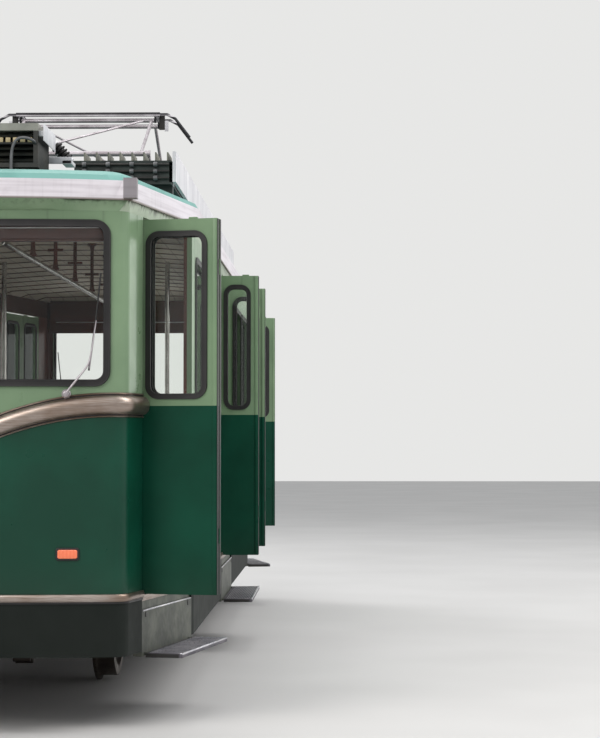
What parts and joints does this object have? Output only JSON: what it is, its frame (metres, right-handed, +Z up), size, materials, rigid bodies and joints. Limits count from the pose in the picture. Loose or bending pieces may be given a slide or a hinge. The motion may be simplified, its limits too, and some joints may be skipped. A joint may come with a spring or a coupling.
{
  "type": "rack railway railcar",
  "caption": "Two-axle electric rack railcar with tapered ends, folding doors and steps, roof resistors and a diamond pantograph.",
  "frame": {"origin": "on the ground below the middle of the car, level with the lowest points of the wheel flanges", "axes": "+Z up, +Y along the car towards its hill end, +X to the side whose doors stand open"},
  "size_m": [2.5975, 9.7, 4.0938],
  "materials": {
    "body_paint": "gloss green, two shades, dark below and light above",
    "door_paint": "gloss green, two shades, dark below and light above",
    "roof_paint": "satin pale green",
    "eave_paint": "weathered off-white",
    "cover_paint": "weathered off-white",
    "bright_trim": "brushed, slightly tarnished",
    "window_glass": "clear",
    "lamp_lens": "orange and clear lenses",
    "black_steel": "dusty black",
    "wheel_steel": "worn bright on the treads",
    "resistor_steel": "dark, dusty",
    "pantograph_tube": "dull grey tube",
    "ceramic": "brown glazed insulators on a dark frame",
    "floor_cover": "grey ribbed flooring",
    "seat_cover": "dark red covered bench",
    "inner_panel": "varnished board",
    "desk_paint": "hammered grey",
    "rail_steel": "polished tube",
    "tread_steel": "ribbed, worn",
    "sill_steel": "worn grey green"
  },
  "bodies": {
    "root": {"air_tanks": "black_steel", "axle_boxes": "black_steel", "benches": "seat_cover", "cant_rail": "body_paint", "couplers": "black_steel", "door_sills": "sill_steel", "draught_screens": "inner_panel", "driver_desks": "desk_paint", "eave_band": "eave_paint", "end_wall_hill": "body_paint", "end_wall_valley": "body_paint", "floor": "floor_cover", "grab_rails": "rail_steel", "lamps": "lamp_lens", "leaf_springs": "black_steel", "mouldings": "bright_trim", "pantograph_base": "ceramic", "resistors": "resistor_steel", "roof": "roof_paint", "roof_cabinet": "resistor_steel", "roof_covers": "cover_paint", "side_walls_left": "body_paint", "side_walls_right": "body_paint", "side_windows": "window_glass", "sill_strips": "bright_trim", "traction_motors": "black_steel", "underframe": "black_steel", "windscreens": "window_glass", "wipers": "black_steel"},
    "door_valley_right_first": {"door_valley_right_first": "door_paint"},
    "door_valley_right_second": {"door_valley_right_second": "door_paint"},
    "step_valley_right": {"step_valley_right": "tread_steel"},
    "door_middle_right_a_first": {"door_middle_right_a_first": "door_paint"},
    "door_middle_right_a_second": {"door_middle_right_a_second": "door_paint"},
    "door_middle_right_b_first": {"door_middle_right_b_first": "door_paint"},
    "door_middle_right_b_second": {"door_middle_right_b_second": "door_paint"},
    "step_middle_right": {"step_middle_right": "tread_steel"},
    "door_hill_right_first": {"door_hill_right_first": "door_paint"},
    "door_hill_right_second": {"door_hill_right_second": "door_paint"},
    "step_hill_right": {"step_hill_right": "tread_steel"},
    "door_hill_left_first": {"door_hill_left_first": "door_paint"},
    "door_hill_left_second": {"door_hill_left_second": "door_paint"},
    "step_hill_left": {"step_hill_left": "tread_steel"},
    "door_middle_left_a_first": {"door_middle_left_a_first": "door_paint"},
    "door_middle_left_a_second": {"door_middle_left_a_second": "door_paint"},
    "door_middle_left_b_first": {"door_middle_left_b_first": "door_paint"},
    "door_middle_left_b_second": {"door_middle_left_b_second": "door_paint"},
    "step_middle_left": {"step_middle_left": "tread_steel"},
    "door_valley_left_first": {"door_valley_left_first": "door_paint"},
    "door_valley_left_second": {"door_valley_left_second": "door_paint"},
    "step_valley_left": {"step_valley_left": "tread_steel"},
    "axle_valley": {"wheelset_valley": "wheel_steel", "rack_pinion_valley": "wheel_steel"},
    "axle_hill": {"wheelset_hill": "wheel_steel", "rack_pinion_hill": "wheel_steel"},
    "pantograph_lower_valley": {"pantograph_lower_valley": "pantograph_tube"},
    "pantograph_lower_hill": {"pantograph_lower_hill": "pantograph_tube"},
    "pantograph_upper_valley": {"pantograph_upper_valley": "pantograph_tube"},
    "pantograph_upper_hill": {"pantograph_upper_hill": "pantograph_tube"},
    "pantograph_head": {"pantograph_head": "pantograph_tube"}
  },
  "joints": [
    {"name": "door_valley_right_first_turn", "type": "hinge", "parent": "root", "child": "door_valley_right_first", "pos_m": [0.91437, -4.23639, 1.7], "axis": [0, 0, 1], "range_deg": [0, 90]},
    {"name": "door_valley_right_second_turn", "type": "hinge", "parent": "door_valley_right_first", "child": "door_valley_right_second", "pos_m": [1.35902, -4.30845, 1.7], "axis": [0, 0, 1], "range_deg": [-180, 0]},
    {"name": "step_valley_right_fold", "type": "hinge", "parent": "root", "child": "step_valley_right", "pos_m": [1.05652, -3.80837, 0.375], "axis": [-0.2036, -0.979, 0], "range_deg": [0, 90]},
    {"name": "door_middle_right_a_first_turn", "type": "hinge", "parent": "root", "child": "door_middle_right_a_first", "pos_m": [1.11, 0.618, 1.7], "axis": [0, 0, 1], "range_deg": [-90, 0]},
    {"name": "door_middle_right_a_second_turn", "type": "hinge", "parent": "door_middle_right_a_first", "child": "door_middle_right_a_second", "pos_m": [1.414, 0.598, 1.7], "axis": [0, 0, 1], "range_deg": [0, 180]},
    {"name": "door_middle_right_b_first_turn", "type": "hinge", "parent": "root", "child": "door_middle_right_b_first", "pos_m": [1.11, -0.618, 1.7], "axis": [0, 0, 1], "range_deg": [0, 90]},
    {"name": "door_middle_right_b_second_turn", "type": "hinge", "parent": "door_middle_right_b_first", "child": "door_middle_right_b_second", "pos_m": [1.414, -0.598, 1.7], "axis": [0, 0, 1], "range_deg": [-180, 0]},
    {"name": "step_middle_right_fold", "type": "hinge", "parent": "root", "child": "step_middle_right", "pos_m": [1.162, 0, 0.375], "axis": [0, -1, 0], "range_deg": [0, 90]},
    {"name": "door_hill_right_first_turn", "type": "hinge", "parent": "root", "child": "door_hill_right_first", "pos_m": [0.91437, 4.23639, 1.7], "axis": [0, 0, 1], "range_deg": [-90, 0]},
    {"name": "door_hill_right_second_turn", "type": "hinge", "parent": "door_hill_right_first", "child": "door_hill_right_second", "pos_m": [1.35902, 4.30845, 1.7], "axis": [0, 0, 1], "range_deg": [0, 180]},
    {"name": "step_hill_right_fold", "type": "hinge", "parent": "root", "child": "step_hill_right", "pos_m": [1.05652, 3.80837, 0.375], "axis": [0.2036, -0.979, 0], "range_deg": [0, 90]},
    {"name": "door_hill_left_first_turn", "type": "hinge", "parent": "root", "child": "door_hill_left_first", "pos_m": [-0.91437, 4.23639, 1.7], "axis": [0, 0, 1], "range_deg": [-90, 0]},
    {"name": "door_hill_left_second_turn", "type": "hinge", "parent": "door_hill_left_first", "child": "door_hill_left_second", "pos_m": [-0.98643, 3.79175, 1.7], "axis": [0, 0, 1], "range_deg": [0, 180]},
    {"name": "step_hill_left_fold", "type": "hinge", "parent": "root", "child": "step_hill_left", "pos_m": [-1.05652, 3.80837, 0.375], "axis": [0.2036, 0.979, 0], "range_deg": [-90, 0]},
    {"name": "door_middle_left_a_first_turn", "type": "hinge", "parent": "root", "child": "door_middle_left_a_first", "pos_m": [-1.11, -0.618, 1.7], "axis": [0, 0, 1], "range_deg": [0, 90]},
    {"name": "door_middle_left_a_second_turn", "type": "hinge", "parent": "door_middle_left_a_first", "child": "door_middle_left_a_second", "pos_m": [-1.09, -0.314, 1.7], "axis": [0, 0, 1], "range_deg": [-180, 0]},
    {"name": "door_middle_left_b_first_turn", "type": "hinge", "parent": "root", "child": "door_middle_left_b_first", "pos_m": [-1.11, 0.618, 1.7], "axis": [0, 0, 1], "range_deg": [-90, 0]},
    {"name": "door_middle_left_b_second_turn", "type": "hinge", "parent": "door_middle_left_b_first", "child": "door_middle_left_b_second", "pos_m": [-1.09, 0.314, 1.7], "axis": [0, 0, 1], "range_deg": [0, 180]},
    {"name": "step_middle_left_fold", "type": "hinge", "parent": "root", "child": "step_middle_left", "pos_m": [-1.162, 0, 0.375], "axis": [0, 1, 0], "range_deg": [-90, 0]},
    {"name": "door_valley_left_first_turn", "type": "hinge", "parent": "root", "child": "door_valley_left_first", "pos_m": [-0.91437, -4.23639, 1.7], "axis": [0, 0, 1], "range_deg": [0, 90]},
    {"name": "door_valley_left_second_turn", "type": "hinge", "parent": "door_valley_left_first", "child": "door_valley_left_second", "pos_m": [-0.98643, -3.79175, 1.7], "axis": [0, 0, 1], "range_deg": [-180, 0]},
    {"name": "step_valley_left_fold", "type": "hinge", "parent": "root", "child": "step_valley_left", "pos_m": [-1.05652, -3.80837, 0.375], "axis": [-0.2036, 0.979, 0], "range_deg": [-90, 0]},
    {"name": "axle_valley_spin", "type": "hinge", "parent": "root", "child": "axle_valley", "pos_m": [0, -2.2, 0.368], "axis": [1, 0, 0], "continuous": true},
    {"name": "axle_hill_spin", "type": "hinge", "parent": "root", "child": "axle_hill", "pos_m": [0, 2.2, 0.368], "axis": [1, 0, 0], "continuous": true},
    {"name": "pantograph_lower_valley_turn", "type": "hinge", "parent": "root", "child": "pantograph_lower_valley", "pos_m": [0, 0.85, 3.255], "axis": [-1, 0, 0], "range_deg": [-20, 36]},
    {"name": "pantograph_lower_hill_turn", "type": "hinge", "parent": "root", "child": "pantograph_lower_hill", "pos_m": [0, 1.15, 3.255], "axis": [1, 0, 0], "range_deg": [-20, 36]},
    {"name": "pantograph_upper_valley_turn", "type": "hinge", "parent": "pantograph_lower_valley", "child": "pantograph_upper_valley", "pos_m": [0, -0.01719, 3.64291], "axis": [1, 0, 0], "range_deg": [-40, 72]},
    {"name": "pantograph_upper_hill_turn", "type": "hinge", "parent": "pantograph_lower_hill", "child": "pantograph_upper_hill", "pos_m": [0, 2.01719, 3.64291], "axis": [-1, 0, 0], "range_deg": [-40, 72]},
    {"name": "pantograph_head_turn", "type": "hinge", "parent": "pantograph_upper_valley", "child": "pantograph_head", "pos_m": [0, 0.85, 4.03083], "axis": [-1, 0, 0], "range_deg": [-20, 36]}
  ],
  "couplings": [
    {"joint": "door_valley_right_second_turn", "follows": "door_valley_right_first_turn", "ratio": -2},
    {"joint": "step_valley_right_fold", "follows": "door_valley_right_first_turn", "ratio": 1},
    {"joint": "door_middle_right_a_second_turn", "follows": "door_middle_right_a_first_turn", "ratio": -2},
    {"joint": "door_middle_right_b_first_turn", "follows": "door_middle_right_a_first_turn", "ratio": -1},
    {"joint": "door_middle_right_b_second_turn", "follows": "door_middle_right_a_first_turn", "ratio": 2},
    {"joint": "step_middle_right_fold", "follows": "door_middle_right_a_first_turn", "ratio": -1},
    {"joint": "door_hill_right_second_turn", "follows": "door_hill_right_first_turn", "ratio": -2},
    {"joint": "step_hill_right_fold", "follows": "door_hill_right_first_turn", "ratio": -1},
    {"joint": "door_hill_left_second_turn", "follows": "door_hill_left_first_turn", "ratio": -2},
    {"joint": "step_hill_left_fold", "follows": "door_hill_left_first_turn", "ratio": 1},
    {"joint": "door_middle_left_a_second_turn", "follows": "door_middle_left_a_first_turn", "ratio": -2},
    {"joint": "door_middle_left_b_first_turn", "follows": "door_middle_left_a_first_turn", "ratio": -1},
    {"joint": "door_middle_left_b_second_turn", "follows": "door_middle_left_a_first_turn", "ratio": 2},
    {"joint": "step_middle_left_fold", "follows": "door_middle_left_a_first_turn", "ratio": -1},
    {"joint": "door_valley_left_second_turn", "follows": "door_valley_left_first_turn", "ratio": -2},
    {"joint": "step_valley_left_fold", "follows": "door_valley_left_first_turn", "ratio": -1},
    {"joint": "pantograph_lower_hill_turn", "follows": "pantograph_lower_valley_turn", "ratio": 1},
    {"joint": "pantograph_upper_valley_turn", "follows": "pantograph_lower_valley_turn", "ratio": 2},
    {"joint": "pantograph_upper_hill_turn", "follows": "pantograph_lower_valley_turn", "ratio": 2},
    {"joint": "pantograph_head_turn", "follows": "pantograph_lower_valley_turn", "ratio": 1}
  ]
}
